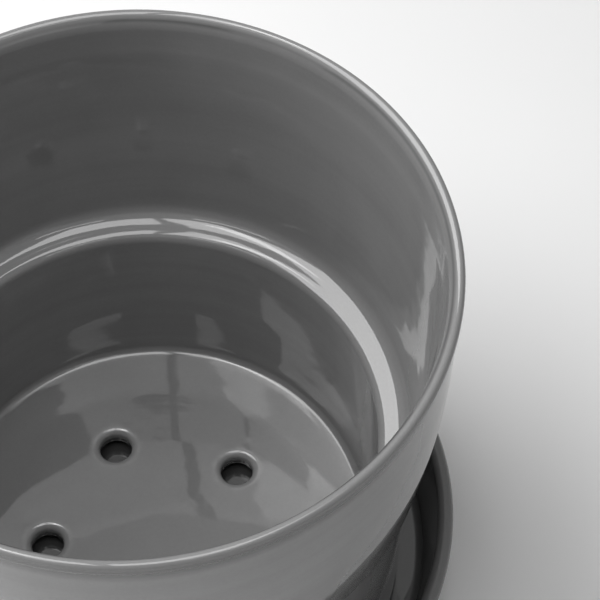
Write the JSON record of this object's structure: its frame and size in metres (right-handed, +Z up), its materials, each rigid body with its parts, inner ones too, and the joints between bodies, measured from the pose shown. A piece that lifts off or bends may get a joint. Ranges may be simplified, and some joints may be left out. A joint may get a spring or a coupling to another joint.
{
  "type": "self watering planter",
  "caption": "Round glazed stoneware planter with a stepped inner well and drain holes, standing in a deep water saucer that feeds the soil from below.",
  "frame": {"origin": "centre of the footprint, on the surface that the saucer stands on", "axes": "+Z up along the axis of the pot and saucer; +X and +Y across, with the drain holes turned 42 degrees from +X"},
  "size_m": [0.2078, 0.2078, 0.1835],
  "materials": {
    "pot_glaze": "glossy mid-grey glaze over stoneware, bare at the foot ring",
    "saucer_glaze": "glossy mid-grey glaze over stoneware, bare at the foot ring",
    "pad_silicone": "milky translucent silicone, satin"
  },
  "bodies": {
    "saucer": {"saucer": "saucer_glaze", "pad_1": "pad_silicone", "pad_2": "pad_silicone", "pad_3": "pad_silicone", "pad_4": "pad_silicone"},
    "pot": {"pot": "pot_glaze"}
  },
  "joints": [
    {"name": "pot_lift", "type": "slide", "parent": "saucer", "child": "pot", "axis": [0, 0, 1], "range_m": [0, 0.1]}
  ]
}
